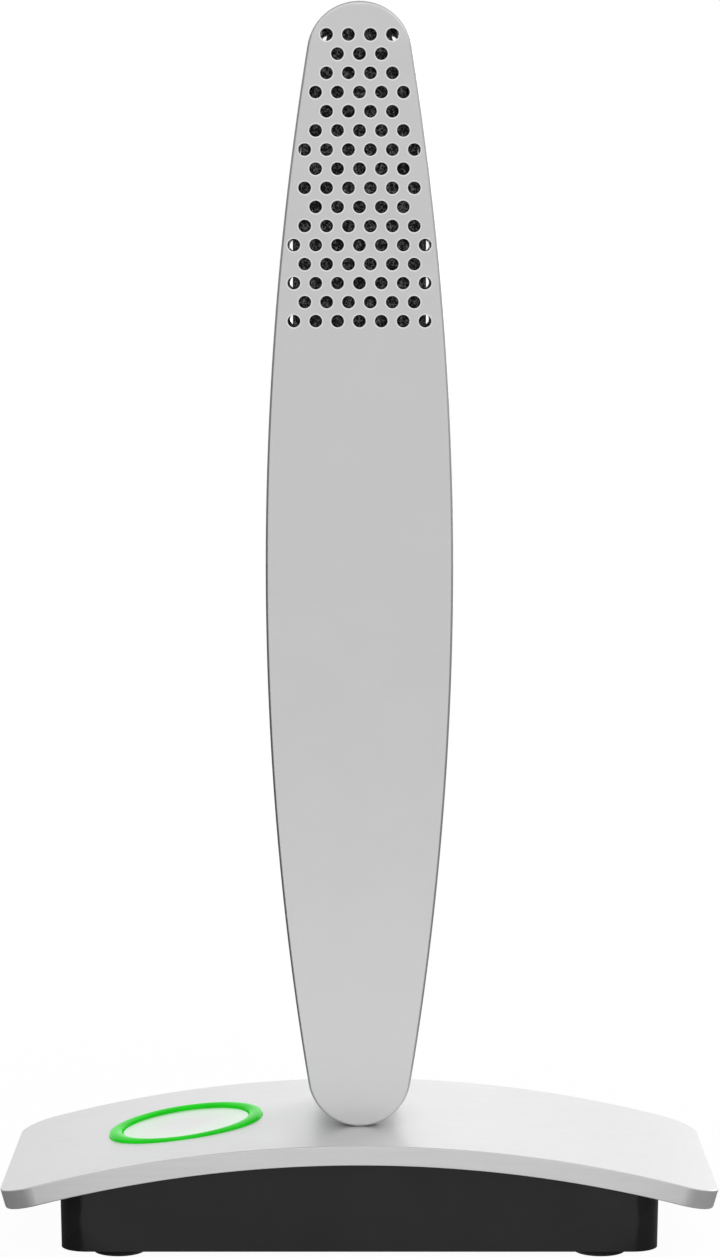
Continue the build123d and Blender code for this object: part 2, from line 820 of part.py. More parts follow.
def write_node(name, shape):
    """Write one node as a STEP file. A list is a group of separate solids."""
    if isinstance(shape, list):
        shape = Compound(children=shape)
    export_step(shape, f"parts/{name}.step")


os.makedirs("parts", exist_ok=True)

makers = [
    front_panel, rear_panel, side_band, foot_block, core_moulding, capsule_holder,
    microphone_capsule, capsule_board, foam_windscreen, microphone_lead, upright_screws,
    base_plate, plate_standoffs, base_housing, housing_screws, ballast_weight,
    main_board, board_screws, usb_socket, usb_tongue, lead_connector, codec_chip,
    board_components, main_ribbon_connector, light_ring, button_carrier, button_board,
    carrier_screws, ring_lamps, switch_body, switch_plunger, mute_button_cap,
    board_ribbon_connector, button_ribbon,
]
for maker in makers:
    write_node(maker.__name__, maker())

foot_names = ["front_left_foot", "rear_left_foot", "front_right_foot", "rear_right_foot"]
for name, place in zip(foot_names, at_grid(foot_spacing_x, foot_spacing_y)):
    write_node(name, rubber_foot(place))

print("holes in each face:", len(hole_places()))
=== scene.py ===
import math

import bmesh
import bpy
import numpy as np
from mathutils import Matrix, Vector
from mathutils.geometry import tessellate_polygon


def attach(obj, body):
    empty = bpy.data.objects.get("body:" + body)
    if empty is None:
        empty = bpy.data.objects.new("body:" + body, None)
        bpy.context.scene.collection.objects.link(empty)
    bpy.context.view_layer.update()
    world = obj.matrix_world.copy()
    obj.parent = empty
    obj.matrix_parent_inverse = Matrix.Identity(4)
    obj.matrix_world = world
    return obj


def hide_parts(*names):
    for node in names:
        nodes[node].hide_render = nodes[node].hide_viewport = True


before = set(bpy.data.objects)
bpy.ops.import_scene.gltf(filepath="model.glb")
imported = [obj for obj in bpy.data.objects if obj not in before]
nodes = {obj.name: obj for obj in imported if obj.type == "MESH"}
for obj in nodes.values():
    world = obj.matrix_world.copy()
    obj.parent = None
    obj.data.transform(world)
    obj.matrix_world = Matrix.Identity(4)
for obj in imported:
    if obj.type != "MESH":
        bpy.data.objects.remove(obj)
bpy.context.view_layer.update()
mm = 0.001  # sizes below are in millimetres, meshes in metres
print("frame loaded:", len(nodes), "nodes")


# Camera, at the photograph's angle

cameraLook = {"place": (0.00009, -0.6401, 0.1615), "pitch": 5.48, "lens": 112.01, "sensor": 36.0,
              "near": 0.01}


def addCamera():
    data = bpy.data.cameras.new("studioCamera")
    data.sensor_fit = "VERTICAL"
    data.sensor_height = cameraLook["sensor"]
    data.lens = cameraLook["lens"]
    data.clip_start = cameraLook["near"]
    camera = bpy.data.objects.new("studioCamera", data)
    camera.location = cameraLook["place"]
    camera.rotation_euler = (math.radians(90 - cameraLook["pitch"]), 0, 0)
    bpy.context.scene.collection.objects.link(camera)
    bpy.context.scene.camera = camera


addCamera()
bpy.context.scene.view_settings.view_transform = "Standard"
print("camera set")


# Node helpers

# A node with its inputs set: an output socket is linked, anything else is a plain value.
def addNode(tree, kind, inputs=None, **settings):
    made = tree.nodes.new(kind)
    for label, value in settings.items():
        setattr(made, label, value)
    for label, value in (inputs or {}).items():
        if isinstance(value, bpy.types.NodeSocket):
            tree.links.new(value, made.inputs[label])
        else:
            made.inputs[label].default_value = value
    return made


# One operation on two values; the second is zero where it isn't given.
def calculate(tree, operation, first, second=0.0):
    return addNode(tree, "ShaderNodeMath", {0: first, 1: second}, operation=operation).outputs[0]


# A value moved from one range to another, held inside it.
def remap(tree, value, fromLow, fromHigh, toLow, toHigh, smooth=False):
    inputs = {"Value": value, "From Min": fromLow, "From Max": fromHigh,
              "To Min": toLow, "To Max": toHigh}
    kind = "SMOOTHSTEP" if smooth else "LINEAR"
    return addNode(tree, "ShaderNodeMapRange", inputs, interpolation_type=kind).outputs["Result"]


# A noise's usual span, from 0.3 to 0.7, spread over a range and held inside it.
def spreadNoise(tree, noise, toLow, toHigh):
    return remap(tree, noise, 0.3, 0.7, toLow, toHigh)


# Two numbers mixed by a mask.
def mixValues(tree, mask, first, second):
    return addNode(tree, "ShaderNodeMix", {0: mask, 2: first, 3: second}).outputs[0]


# Two colours mixed by a mask. A plain colour gets its alpha here.
def mixColours(tree, mask, *colours):
    inputs = {0: mask}
    for label, colour in zip((6, 7), colours):
        inputs[label] = colour if isinstance(colour, bpy.types.NodeSocket) else (*colour, 1.0)
    return addNode(tree, "ShaderNodeMix", inputs, data_type="RGBA").outputs[2]


# How far a point lies from the Z axis, from its coordinates.
def fromAxis(tree, axes):
    squares = [calculate(tree, "MULTIPLY", axes[label], axes[label]) for label in "XY"]
    return calculate(tree, "SQRT", calculate(tree, "ADD", *squares))


# Noise of a given feature size in millimetres.
def noiseAt(tree, where, size, detail=2.0, roughness=0.5):
    inputs = {"Vector": where, "Scale": 1 / (size * mm), "Detail": detail, "Roughness": roughness}
    return addNode(tree, "ShaderNodeTexNoise", inputs).outputs["Fac"]


# Shared effects, each one a group that gives masks and values only

dustLook = {"speck": 0.45, "speckShare": 0.7, "film": 14.0, "filmShare": 0.4}
wearPatch = 2.2  # millimetres
slowShare = 0.022  # scale of a grain's slow shade, as a share of the grain's own


# A group with its sockets; gives its tree, what comes in and what goes out.
def newGroup(name, inputs, outputs):
    tree = bpy.data.node_groups.new(name, "ShaderNodeTree")
    for label, kind, value in inputs:
        socket = tree.interface.new_socket(label, in_out="INPUT", socket_type=kind)
        if value is not None:
            socket.default_value = value
    for label in outputs:
        tree.interface.new_socket(label, in_out="OUTPUT", socket_type="NodeSocketFloat")
    return tree, tree.nodes.new("NodeGroupInput").outputs, tree.nodes.new("NodeGroupOutput").inputs


# Fine grain: a height for the bump and a slow shade for colour and roughness.
def makeGrain():
    wanted = [("Vector", "NodeSocketVector", None), ("Size", "NodeSocketFloat", 0.2)]
    tree, given, result = newGroup("fineGrain", wanted, ["Height", "Shade"])
    fineScale = calculate(tree, "DIVIDE", 1 / mm, given["Size"])
    slowScale = calculate(tree, "MULTIPLY", fineScale, slowShare)
    for label, scale, detail in (("Height", fineScale, 2.5), ("Shade", slowScale, 4.0)):
        inputs = {"Vector": given["Vector"], "Scale": scale, "Detail": detail}
        tree.links.new(addNode(tree, "ShaderNodeTexNoise", inputs).outputs["Fac"], result[label])
    return tree


# Edge wear: where a rounded normal leaves the face's own, broken up by noise.
def makeWear():
    wanted = [("Vector", "NodeSocketVector", None), ("Reach", "NodeSocketFloat", 0.3),
              ("Amount", "NodeSocketFloat", 0.5)]
    tree, given, result = newGroup("edgeWear", wanted, ["Mask"])
    reach = calculate(tree, "MULTIPLY", given["Reach"], mm)
    rounded = addNode(tree, "ShaderNodeBevel", {"Radius": reach}, samples=4).outputs["Normal"]
    own = addNode(tree, "ShaderNodeNewGeometry").outputs["Normal"]
    match = addNode(tree, "ShaderNodeVectorMath", {0: rounded, 1: own}, operation="DOT_PRODUCT")
    edge = remap(tree, match.outputs["Value"], 0.999, 0.93, 0.0, 1.0)
    patchy = remap(tree, noiseAt(tree, given["Vector"], wearPatch, 4.0, 0.65), 0.38, 0.62, 0.15, 1.0)
    worn = calculate(tree, "MULTIPLY", edge, patchy)
    tree.links.new(calculate(tree, "MULTIPLY", worn, given["Amount"]), result["Mask"])
    return tree


# Dust: fine specks and a thin film on what faces up.
def makeDust():
    wanted = [("Vector", "NodeSocketVector", None), ("Amount", "NodeSocketFloat", 0.5)]
    tree, given, result = newGroup("settledDust", wanted, ["Mask"])
    facing = addNode(tree, "ShaderNodeNewGeometry").outputs["Normal"]
    upward = addNode(tree, "ShaderNodeSeparateXYZ", {"Vector": facing}).outputs["Z"]
    lying = remap(tree, upward, 0.2, 0.95, 0.0, 1.0, smooth=True)
    speckled = noiseAt(tree, given["Vector"], dustLook["speck"], 1.0)
    specks = remap(tree, speckled, 0.70, 0.76, 0.0, dustLook["speckShare"])
    cloudy = noiseAt(tree, given["Vector"], dustLook["film"], 4.0)
    film = remap(tree, cloudy, 0.35, 0.75, 0.0, dustLook["filmShare"])
    kept = calculate(tree, "MULTIPLY", calculate(tree, "MAXIMUM", specks, film), lying)
    tree.links.new(calculate(tree, "MULTIPLY", kept, given["Amount"]), result["Mask"])
    return tree


grainGroup = makeGrain()
wearGroup = makeWear()
dustGroup = makeDust()


# The effects placed in a material, each with the material's own values.
def grainOf(tree, where, size):
    made = addNode(tree, "ShaderNodeGroup", {"Vector": where, "Size": size}, node_tree=grainGroup)
    return made.outputs["Height"], made.outputs["Shade"]


def wearOf(tree, where, reach, amount):
    inputs = {"Vector": where, "Reach": reach, "Amount": amount}
    return addNode(tree, "ShaderNodeGroup", inputs, node_tree=wearGroup).outputs["Mask"]


def dustOf(tree, where, amount):
    inputs = {"Vector": where, "Amount": amount}
    return addNode(tree, "ShaderNodeGroup", inputs, node_tree=dustGroup).outputs["Mask"]


# A new material with its shader's plain values set; gives it, its tree and its object coordinates.
def newFinish(name, values):
    material = bpy.data.materials.new(name)
    material.use_nodes = True
    tree = material.node_tree
    for label, value in values.items():
        tree.nodes["Principled BSDF"].inputs[label].default_value = value
    return material, tree, addNode(tree, "ShaderNodeTexCoord").outputs["Object"]


# A surface's colour, roughness and height linked to its shader, and its glow if it is lit. The height is
# a bump, with its relief in micrometres.
def coverSurface(material, colour, roughness, height, relief, glow=None):
    tree = material.node_tree
    raised = {"Height": height, "Strength": 1.0, "Distance": relief * mm * mm}
    normal = addNode(tree, "ShaderNodeBump", raised).outputs["Normal"]
    linked = {"Base Color": colour, "Roughness": roughness, "Normal": normal}
    if glow is not None:
        linked["Emission Color"] = glow
    for label, value in linked.items():
        tree.links.new(value, tree.nodes["Principled BSDF"].inputs[label])
    return material


# Finishes

metalDust = (0.66, 0.64, 0.61)
plasticDust = (0.35, 0.34, 0.32)
# a painted highlight: the near-white ring round each grille hole
paintedHaloTone = (0.98, 0.98, 0.98)


# Blasted and anodised aluminium; its oxide scatters a share of the light. Brushing, where it has any, is
# grain drawn out along X. Where the piece has a holeHighlight attribute, a painted highlight makes a
# bright ring round each hole.
def satinAluminium(name, look):
    material, tree, where = newFinish(name, {"Metallic": look["metal"], "IOR": 1.5})
    height, shade = grainOf(tree, where, look["grain"])
    drawn = addNode(tree, "ShaderNodeMapping", {"Vector": where, "Scale": (look["stretch"], 1.0, 1.0)})
    streaks = noiseAt(tree, drawn.outputs["Vector"], look["streak"], 3.0, 0.6)
    worn = wearOf(tree, where, look["edge"], look["wear"])
    dust = dustOf(tree, where, look["dust"])
    dark = tuple(value * (1 - look["mottle"]) for value in look["tone"])
    tinted = mixColours(tree, spreadNoise(tree, shade, 0.0, 1.0), dark, look["tone"])
    lined = mixColours(tree, spreadNoise(tree, streaks, 0.0, look["brushing"]), tinted, look["line"])
    edged = mixColours(tree, worn, lined, look["bare"])
    # Painted highlight: the metal round each hole is mixed toward near-white by the holeHighlight mask.
    rim = addNode(tree, "ShaderNodeAttribute", attribute_name="holeHighlight").outputs["Fac"]
    cut = mixColours(tree, calculate(tree, "MULTIPLY", rim, look["rim"]), edged, paintedHaloTone)
    dusty = mixColours(tree, dust, cut, metalDust)
    rough = spreadNoise(tree, height, look["roughness"] - 0.03, look["roughness"] + 0.03)
    varied = calculate(tree, "ADD", rough, spreadNoise(tree, shade, -0.02, 0.02))
    polished = calculate(tree, "SUBTRACT", varied, calculate(tree, "MULTIPLY", worn, 0.1))
    dulled = calculate(tree, "ADD", polished, calculate(tree, "MULTIPLY", dust, 0.25))
    brushed = calculate(tree, "ADD", height, calculate(tree, "MULTIPLY", streaks, look["brushing"]))
    return coverSurface(material, dusty, dulled, brushed, look["relief"])


# Moulded plastic with a fine spark-eroded skin.
def mouldedPlastic(name, look):
    values = {"Specular IOR Level": look["shine"], "IOR": 1.5}
    material, tree, where = newFinish(name, values)
    height, shade = grainOf(tree, where, look["grain"])
    worn = wearOf(tree, where, look["edge"], look["wear"])
    dust = dustOf(tree, where, look["dust"])
    pale = tuple(min(value * 1.35 + 0.002, 1.0) for value in look["tone"])
    tinted = mixColours(tree, remap(tree, shade, 0.25, 0.75, 0.0, 1.0), look["tone"], pale)
    rubbed = mixColours(tree, worn, tinted, look["rubbed"])
    dusty = mixColours(tree, dust, rubbed, plasticDust)
    rough = spreadNoise(tree, height, look["roughness"] - 0.04, look["roughness"] + 0.05)
    polished = calculate(tree, "SUBTRACT", rough, calculate(tree, "MULTIPLY", worn, 0.12))
    return coverSurface(material, dusty, polished, height, look["relief"])


# Rolled or plated steel with scratches drawn out along one axis.
def workedSteel(name, look):
    material, tree, where = newFinish(name, {"Metallic": 1.0})
    height, shade = grainOf(tree, where, look["grain"])
    drawn = addNode(tree, "ShaderNodeMapping", {"Vector": where, "Scale": look["along"]})
    scratches = noiseAt(tree, drawn.outputs["Vector"], 0.12, 3.0, 0.7)
    stained = mixColours(tree, remap(tree, shade, 0.35, 0.7, 0.0, 0.8), look["tone"], look["stain"])
    lined = mixColours(tree, remap(tree, scratches, 0.55, 0.7, 0.0, 0.5), stained, look["bright"])
    rough = spreadNoise(tree, scratches, look["roughness"] + 0.1, look["roughness"])
    return coverSurface(material, lined, rough, calculate(tree, "ADD", height, scratches), look["relief"])


# Cast alloy with pits and a dull oxide in its hollows.
def castAlloy(name, look):
    material, tree, where = newFinish(name, {"Metallic": 1.0})
    height, shade = grainOf(tree, where, look["grain"])
    pits = addNode(tree, "ShaderNodeTexVoronoi", {"Vector": where, "Scale": 1 / (look["pit"] * mm)})
    pitted = remap(tree, pits.outputs["Distance"], 0.05, 0.3, 0.0, 1.0, smooth=True)
    tone = mixColours(tree, pitted, look["oxide"], look["tone"])
    dulled = mixColours(tree, remap(tree, shade, 0.4, 0.7, 0.0, 0.4), tone, look["oxide"])
    rough = spreadNoise(tree, height, *look["rough"])
    return coverSurface(material, dulled, rough, calculate(tree, "ADD", height, pitted), look["relief"])


# Matt rubber with a bloom on its skin.
def mattRubber(name, look):
    material, tree, where = newFinish(name, {"Specular IOR Level": 0.3})
    height, shade = grainOf(tree, where, look["grain"])
    bloomed = mixColours(tree, remap(tree, shade, 0.4, 0.75, 0.0, 0.6), look["tone"], look["bloom"])
    rough = spreadNoise(tree, height, *look["rough"])
    return coverSurface(material, bloomed, rough, height, look["relief"])


# Open-cell foam: pale struts round dark cells, at two depths. The cells' near-black, the dimmer deeper
# struts and the darker patches are painted shade in the foam's depth.
def openFoam(name, look):
    material, tree, where = newFinish(name, {"Specular IOR Level": 0.25, "Sheen Weight": 0.15})
    heights = []
    for size in look["cells"]:
        cells = addNode(tree, "ShaderNodeTexVoronoi", {"Vector": where, "Scale": 1 / (size * mm)},
                        feature="DISTANCE_TO_EDGE")
        heights.append(remap(tree, cells.outputs["Distance"], 0.0, look["strutWidth"], 1.0, 0.0))
    # painted shade: the deeper layer of struts is dimmed
    deeper = calculate(tree, "MULTIPLY", heights[1], look["deeper"])
    struts = calculate(tree, "MAXIMUM", heights[0], deeper)
    # painted shade: patches where the struts are darkened
    uneven = remap(tree, noiseAt(tree, where, look["patch"]), 0.44, 0.6, look["shaded"], 1.0)
    tone = mixColours(tree, calculate(tree, "MULTIPLY", struts, uneven), look["cell"], look["strut"])
    return coverSurface(material, tone, remap(tree, struts, 0.0, 1.0, 0.95, 0.6), struts, look["relief"])


# Coordinates in the button's own frame, its middle at zero.
def buttonAxes(tree, where, look):
    turned = {"Vector": where, "Location": look["shift"], "Rotation": look["turn"]}
    local = addNode(tree, "ShaderNodeMapping", turned).outputs["Vector"]
    return addNode(tree, "ShaderNodeSeparateXYZ", {"Vector": local}).outputs


# Lit ring: clear green resin, a little brighter over each lamp.
def litResin(name, look):
    values = {"Emission Strength": look["glow"], "Specular IOR Level": look["shine"]}
    material, tree, where = newFinish(name, values)
    axes = buttonAxes(tree, where, look)
    angle = calculate(tree, "ARCTAN2", axes["Y"], axes["X"])
    wave = calculate(tree, "COSINE", calculate(tree, "MULTIPLY", angle, look["lamps"]))
    height, shade = grainOf(tree, where, look["grain"])
    dapple = spreadNoise(tree, shade, -0.3, 0.3)
    even = calculate(tree, "ADD", calculate(tree, "MULTIPLY", wave, 0.5), dapple)
    hot = remap(tree, even, -0.8, 0.8, 0.0, 1.0)  # -0.8 and 0.8 are the sum's ends
    glow = mixColours(tree, hot, look["dim"], look["bright"])
    tone = mixColours(tree, spreadNoise(tree, height, 0.0, 1.0), look["resin"], look["milk"])
    rough = spreadNoise(tree, height, *look["rough"])
    return coverSurface(material, tone, rough, height, look["relief"], glow)


# The button's silver: turned rings about its own middle. A painted green glow near its rim stands for the
# ring's light spilling over it.
def turnedSilver(name, look):
    material, tree, where = newFinish(name, {"Metallic": 1.0, "Emission Strength": 1.0})
    spread = fromAxis(tree, buttonAxes(tree, where, look))
    ringed = addNode(tree, "ShaderNodeCombineXYZ", {"X": spread}).outputs["Vector"]
    rings = noiseAt(tree, ringed, look["ring"], 2.0, 0.6)
    height, shade = grainOf(tree, where, look["grain"])
    worn = wearOf(tree, where, look["edge"], look["wear"])
    # painted light: a green glow that grows toward the cap's rim
    spill = remap(tree, spread, look["inner"] * mm, look["outer"] * mm, 0.0, 1.0, smooth=True)
    cast = mixColours(tree, spill, (0, 0, 0), look["spill"])
    tinted = mixColours(tree, spreadNoise(tree, shade, 0.0, 1.0), look["dark"], look["tone"])
    edged = mixColours(tree, worn, tinted, look["bare"])
    rough = spreadNoise(tree, rings, look["roughness"] - 0.04, look["roughness"] + 0.04)
    ridged = calculate(tree, "ADD", height, rings)
    return coverSurface(material, edged, rough, ridged, look["relief"], cast)


# Circuit board: solder mask over straight copper tracks.
def solderMask(name, look):
    material, tree, where = newFinish(name, {"Specular IOR Level": 0.5})
    tracks = {"Vector": where, "Scale": 1 / (look["track"] * mm), "Mortar Size": 0.06, "Brick Width": 1.7,
              "Row Height": 0.5, "Color1": (0, 0, 0, 1), "Color2": (0.1, 0.1, 0.1, 1),
              "Mortar": (1, 1, 1, 1)}
    line = addNode(tree, "ShaderNodeTexBrick", tracks).outputs["Color"]
    height, shade = grainOf(tree, where, look["grain"])
    masked = mixColours(tree, line, look["tone"], look["copper"])
    deepened = mixColours(tree, remap(tree, shade, 0.4, 0.7, 0.0, 0.3), masked, look["deep"])
    rough = spreadNoise(tree, height, *look["rough"])
    return coverSurface(material, deepened, rough, calculate(tree, "ADD", line, height), look["relief"])


# Clear lamp resin over a yellow phosphor.
def lampResin(name, look):
    material, tree, where = newFinish(name, {"Emission Strength": 0.4, "Coat Weight": 0.5})
    height, shade = grainOf(tree, where, look["grain"])
    glow = mixColours(tree, spreadNoise(tree, shade, 0.0, 1.0), look["phosphor"], look["clear"])
    rough = spreadNoise(tree, height, *look["rough"])
    return coverSurface(material, glow, rough, height, look["relief"], glow)


# Arch and button, shared by the plate, the ring and the button

arch = {"radius": 210.0, "crown": 19.5, "buttonArc": -29.0}
archCentre = arch["crown"] - arch["radius"]
buttonTilt = arch["buttonArc"] / arch["radius"]


# Mapping values that turn object coordinates into the button's own, its middle at zero.
def buttonMapping():
    turn = -buttonTilt
    x = arch["radius"] * math.sin(buttonTilt) * mm
    z = (archCentre + arch["radius"] * math.cos(buttonTilt)) * mm
    shiftX = -(math.cos(turn) * x + math.sin(turn) * z)
    shiftZ = -(math.cos(turn) * z - math.sin(turn) * x)
    return {"shift": (shiftX, 0.0, shiftZ), "turn": (0.0, turn, 0.0)}


buttonFrame = buttonMapping()


# Mesh helpers

smoothAngle = 32.0  # faces that meet at less than this, in degrees, share one normal


# Quads of a grid; a closed side joins its last line to its first.
def gridQuads(rows, columns, closedRows, closedColumns):
    row = np.arange(rows if closedRows else rows - 1)
    column = np.arange(columns if closedColumns else columns - 1)
    a, b = np.meshgrid(row, column, indexing="ij")
    nextA, nextB = (a + 1) % rows, (b + 1) % columns
    corners = [a * columns + b, nextA * columns + b, nextA * columns + nextB, a * columns + nextB]
    return np.stack(corners, -1).reshape(-1, 4)


# A profile carried along a closed path: each point is the path's point moved along its normal by the
# profile's first number, at the height of its second.
def carryProfile(path, normal, profile, closed=False):
    plan = path[:, None, :] + profile[None, :, :1] * normal[:, None, :]
    height = np.broadcast_to(profile[None, :, 1:], plan.shape[:2] + (1,))
    points = np.concatenate([plan, height], -1).reshape(-1, 3)
    return points, gridQuads(len(path), len(profile), True, closed)


# A sheet's side: a quarter round at the top, straight down, and a quarter round at the bottom.
def sideProfile(top, bottom, topRound, bottomRound, steps=3):
    turn = np.linspace(0, math.pi / 2, steps + 1)
    upper = np.stack([topRound * (np.sin(turn) - 1), top + topRound * (np.cos(turn) - 1)], -1)
    lower = np.stack([bottomRound * (np.cos(turn) - 1), bottom + bottomRound * (1 - np.sin(turn))], -1)
    return np.concatenate([upper, lower])


# A sheet: its rims carried round each loop, and its two faces filled between them.
def piercedSheet(rims):
    parts = [carryProfile(*rim) for rim in rims]
    for side in (0, -1):
        loops = [path + profile[side, 0] * normal for path, normal, profile in rims]
        flat = np.concatenate(loops)
        height = np.full((len(flat), 1), rims[0][2][side, 1])
        faces = tessellate_polygon([loop.tolist() for loop in loops])
        parts.append((np.hstack([flat, height]), np.array(faces)))
    return parts


# A circle as a path; its normal points out, or to the middle for a hole.
def circlePath(x, y, radius, count, hole=True):
    angle = np.linspace(0, 2 * math.pi, count, endpoint=False)
    out = np.stack([np.cos(angle), np.sin(angle)], -1)
    return np.array((x, y)) + radius * out, -out if hole else out


# A rectangle with quarter circles at its corners, as one path.
def roundedPath(halfWidth, halfDepth, radius, count):
    quarter = np.linspace(0, math.pi / 2, count)
    angle = (quarter + np.arange(4)[:, None] * math.pi / 2).ravel()
    corner = np.array([[1, 1], [-1, 1], [-1, -1], [1, -1]]) * (halfWidth - radius, halfDepth - radius)
    out = np.stack([np.cos(angle), np.sin(angle)], -1)
    return np.repeat(corner, count, axis=0) + radius * out, out


# Several parts made one mesh in metres, with doubles merged and faces turned out.
def mergedMesh(name, parts):
    starts = np.cumsum([0] + [len(points) for points, _ in parts])
    points = np.concatenate([points for points, _ in parts]) * mm
    faces = []
    for (_, partFaces), start in zip(parts, starts):
        faces += (partFaces + start).tolist()
    mesh = bpy.data.meshes.new(name)
    mesh.from_pydata(points.tolist(), [], faces)
    work = bmesh.new()
    work.from_mesh(mesh)
    bmesh.ops.remove_doubles(work, verts=work.verts, dist=0.001 * mm)
    bmesh.ops.recalc_face_normals(work, faces=work.faces)
    work.to_mesh(mesh)
    work.free()
    return mesh


def readMesh(items, label, width, kind=float):
    values = np.zeros(len(items) * width, kind)
    items.foreach_get(label, values)
    return values.reshape(-1, width) if width > 1 else values


# Each corner's normal is the mean of the faces about its vertex that turn from its own face by less than
# the smooth angle, weighted by area squared. So flat faces stay flat beside small rounds.
def weighNormals(mesh):
    vertex = readMesh(mesh.loops, "vertex_index", 1, np.int64)
    face = np.repeat(np.arange(len(mesh.polygons)), readMesh(mesh.polygons, "loop_total", 1, np.int64))
    facing = readMesh(mesh.polygons, "normal", 3)
    area = readMesh(mesh.polygons, "area", 1) / mm ** 2
    order = np.argsort(vertex, kind="stable")
    shared = np.bincount(vertex)
    start = np.cumsum(shared) - shared
    count = shared[vertex]
    corner = np.repeat(np.arange(len(vertex)), count)
    within = np.arange(len(corner)) - np.repeat(np.cumsum(count) - count, count)
    other = face[order[start[vertex[corner]] + within]]
    near = (facing[face[corner]] * facing[other]).sum(1) > math.cos(math.radians(smoothAngle))
    trace = 1e-12 * (face[corner] == other)  # of its own face, so that no sum is nought
    weight = near * area[other] ** 2 + trace
    summed = [np.bincount(corner, weight * facing[other, axis]) for axis in range(3)]
    total = np.stack(summed, -1)
    mesh.normals_split_custom_set((total / np.linalg.norm(total, axis=1)[:, None]).tolist())


# A mesh as an object at the origin, smooth up to an angle between its faces.
def addPiece(name, mesh, sharpAngle=smoothAngle):
    mesh.shade_smooth()
    mesh.set_sharp_from_angle(angle=math.radians(sharpAngle))
    piece = bpy.data.objects.new(name, mesh)
    bpy.context.scene.collection.objects.link(piece)
    return piece


# Cuts the piece by closed cutters, then drops them.
def cutPiece(piece, cutters):
    for cutter in cutters:
        step = piece.modifiers.new("cut", "BOOLEAN")
        step.operation = "DIFFERENCE"
        step.solver = "EXACT"
        step.object = cutter
    shown = bpy.context.evaluated_depsgraph_get()
    cut = bpy.data.meshes.new_from_object(piece.evaluated_get(shown))
    piece.modifiers.clear()
    piece.data = cut
    for cutter in cutters:
        bpy.data.objects.remove(cutter)


# A finished piece gets its material, its normals, its slot and the body that it rides on.
def dress(piece, material, body="microphone"):
    piece.data.materials.clear()
    piece.data.materials.append(material)
    weighNormals(piece.data)
    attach(piece, body)


# Upright: two perforated panels on a closed band

upright = {"height": 182.0, "width": 30.24, "depth": 24.0, "endRadius": 8.42, "panel": 1.5, "wall": 1.0,
           "frontRound": 0.46, "backRound": 0.1, "holeRound": 0.07, "bandRound": 0.1}
grille = {"hole": 2.0, "sides": 28, "pitch": 3.5, "land": 0.75, "firstDrop": 5.35, "rows": 16,
          "bright": 0.19, "collar": 0.26}
uprightMiddle = arch["crown"] + upright["height"] / 2
halfDepth = upright["depth"] / 2
footHoles = ((0.0, 1.2), (-7.0, 1.55), (7.0, 1.55))  # along Y, and radius: the lead's and two screws'
footHoleSides = 32


# The lens outline's numbers. The radius of its sides follows from its ends, which they meet in tangency.
def lensNumbers():
    halfWidth = upright["width"] / 2
    end = upright["endRadius"]
    endCentre = upright["height"] / 2 - end
    side = (halfWidth ** 2 + endCentre ** 2 - end ** 2) / (2 * (halfWidth - end))
    return halfWidth, end, endCentre, side, math.atan2(endCentre, side - halfWidth)


# The lens outline as one path of four arcs; a point is an arc's centre plus its radius along the normal.
def lensPath(sideCount=72, endCount=40):
    halfWidth, end, endCentre, side, join = lensNumbers()
    sideTurn = np.linspace(-join, join, sideCount, endpoint=False)
    endTurn = np.linspace(join, math.pi - join, endCount, endpoint=False)
    angle = np.concatenate([sideTurn, endTurn, sideTurn + math.pi, endTurn + math.pi])
    counts = [sideCount, endCount, sideCount, endCount]
    centre = np.array([[halfWidth - side, 0], [0, endCentre], [side - halfWidth, 0], [0, -endCentre]])
    radius = np.repeat([side, end, side, end], counts)[:, None]
    normal = np.stack([np.cos(angle), np.sin(angle)], -1)
    return np.repeat(centre, counts, axis=0) + radius * normal, normal


# Half the outline's width at heights above its middle: past the join the end circle, before it the side.
def lensHalfWidth(height):
    halfWidth, end, endCentre, side, join = lensNumbers()
    past = np.sqrt(np.clip(end ** 2 - (height - endCentre) ** 2, 0, None))
    before = np.sqrt(side ** 2 - height ** 2) - (side - halfWidth)
    return np.where(height > side * math.sin(join), past, before)


# The holes' places: a 60-degree pattern, every other row shifted by half a pitch, and each row as long as
# the outline leaves room for.
def holePlaces():
    places = []
    for row in range(grille["rows"]):
        drop = grille["firstDrop"] + row * grille["pitch"] * math.sin(math.pi / 3)
        height = upright["height"] / 2 - drop
        room = float(lensHalfWidth(np.array(height))) - grille["land"] - grille["hole"] / 2
        start = grille["pitch"] / 2 if row % 2 == 0 else 0.0
        sides = np.arange(start, room, grille["pitch"])
        sides = np.unique(np.concatenate([-sides, sides]))
        places += [(side, height) for side in sides]
    return places


# A panel is drawn flat and stood up. A flat collar in two steps lies round each hole, on both faces.
def makePanel(name, facing):
    outer = sideProfile(0, -upright["panel"], upright["frontRound"], upright["backRound"], 4)
    side = sideProfile(0, -upright["panel"], upright["holeRound"], upright["holeRound"], 2)
    collar = np.array([[-grille["collar"], 0.0], [-grille["bright"], 0.0]])
    inner = np.concatenate([collar, side, collar[::-1] - (0, upright["panel"])])
    rims = [lensPath() + (outer,)]
    for x, z in holePlaces():
        rims.append(circlePath(x, z, grille["hole"] / 2, grille["sides"]) + (inner,))
    parts = []
    for points, faces in piercedSheet(rims):
        depth = facing * (halfDepth + points[:, 2])
        parts.append((np.stack([points[:, 0], depth, points[:, 1] + uprightMiddle], -1), faces))
    mesh = mergedMesh(name, parts)
    markHoleHighlights(mesh)
    return addPiece(name, mesh)


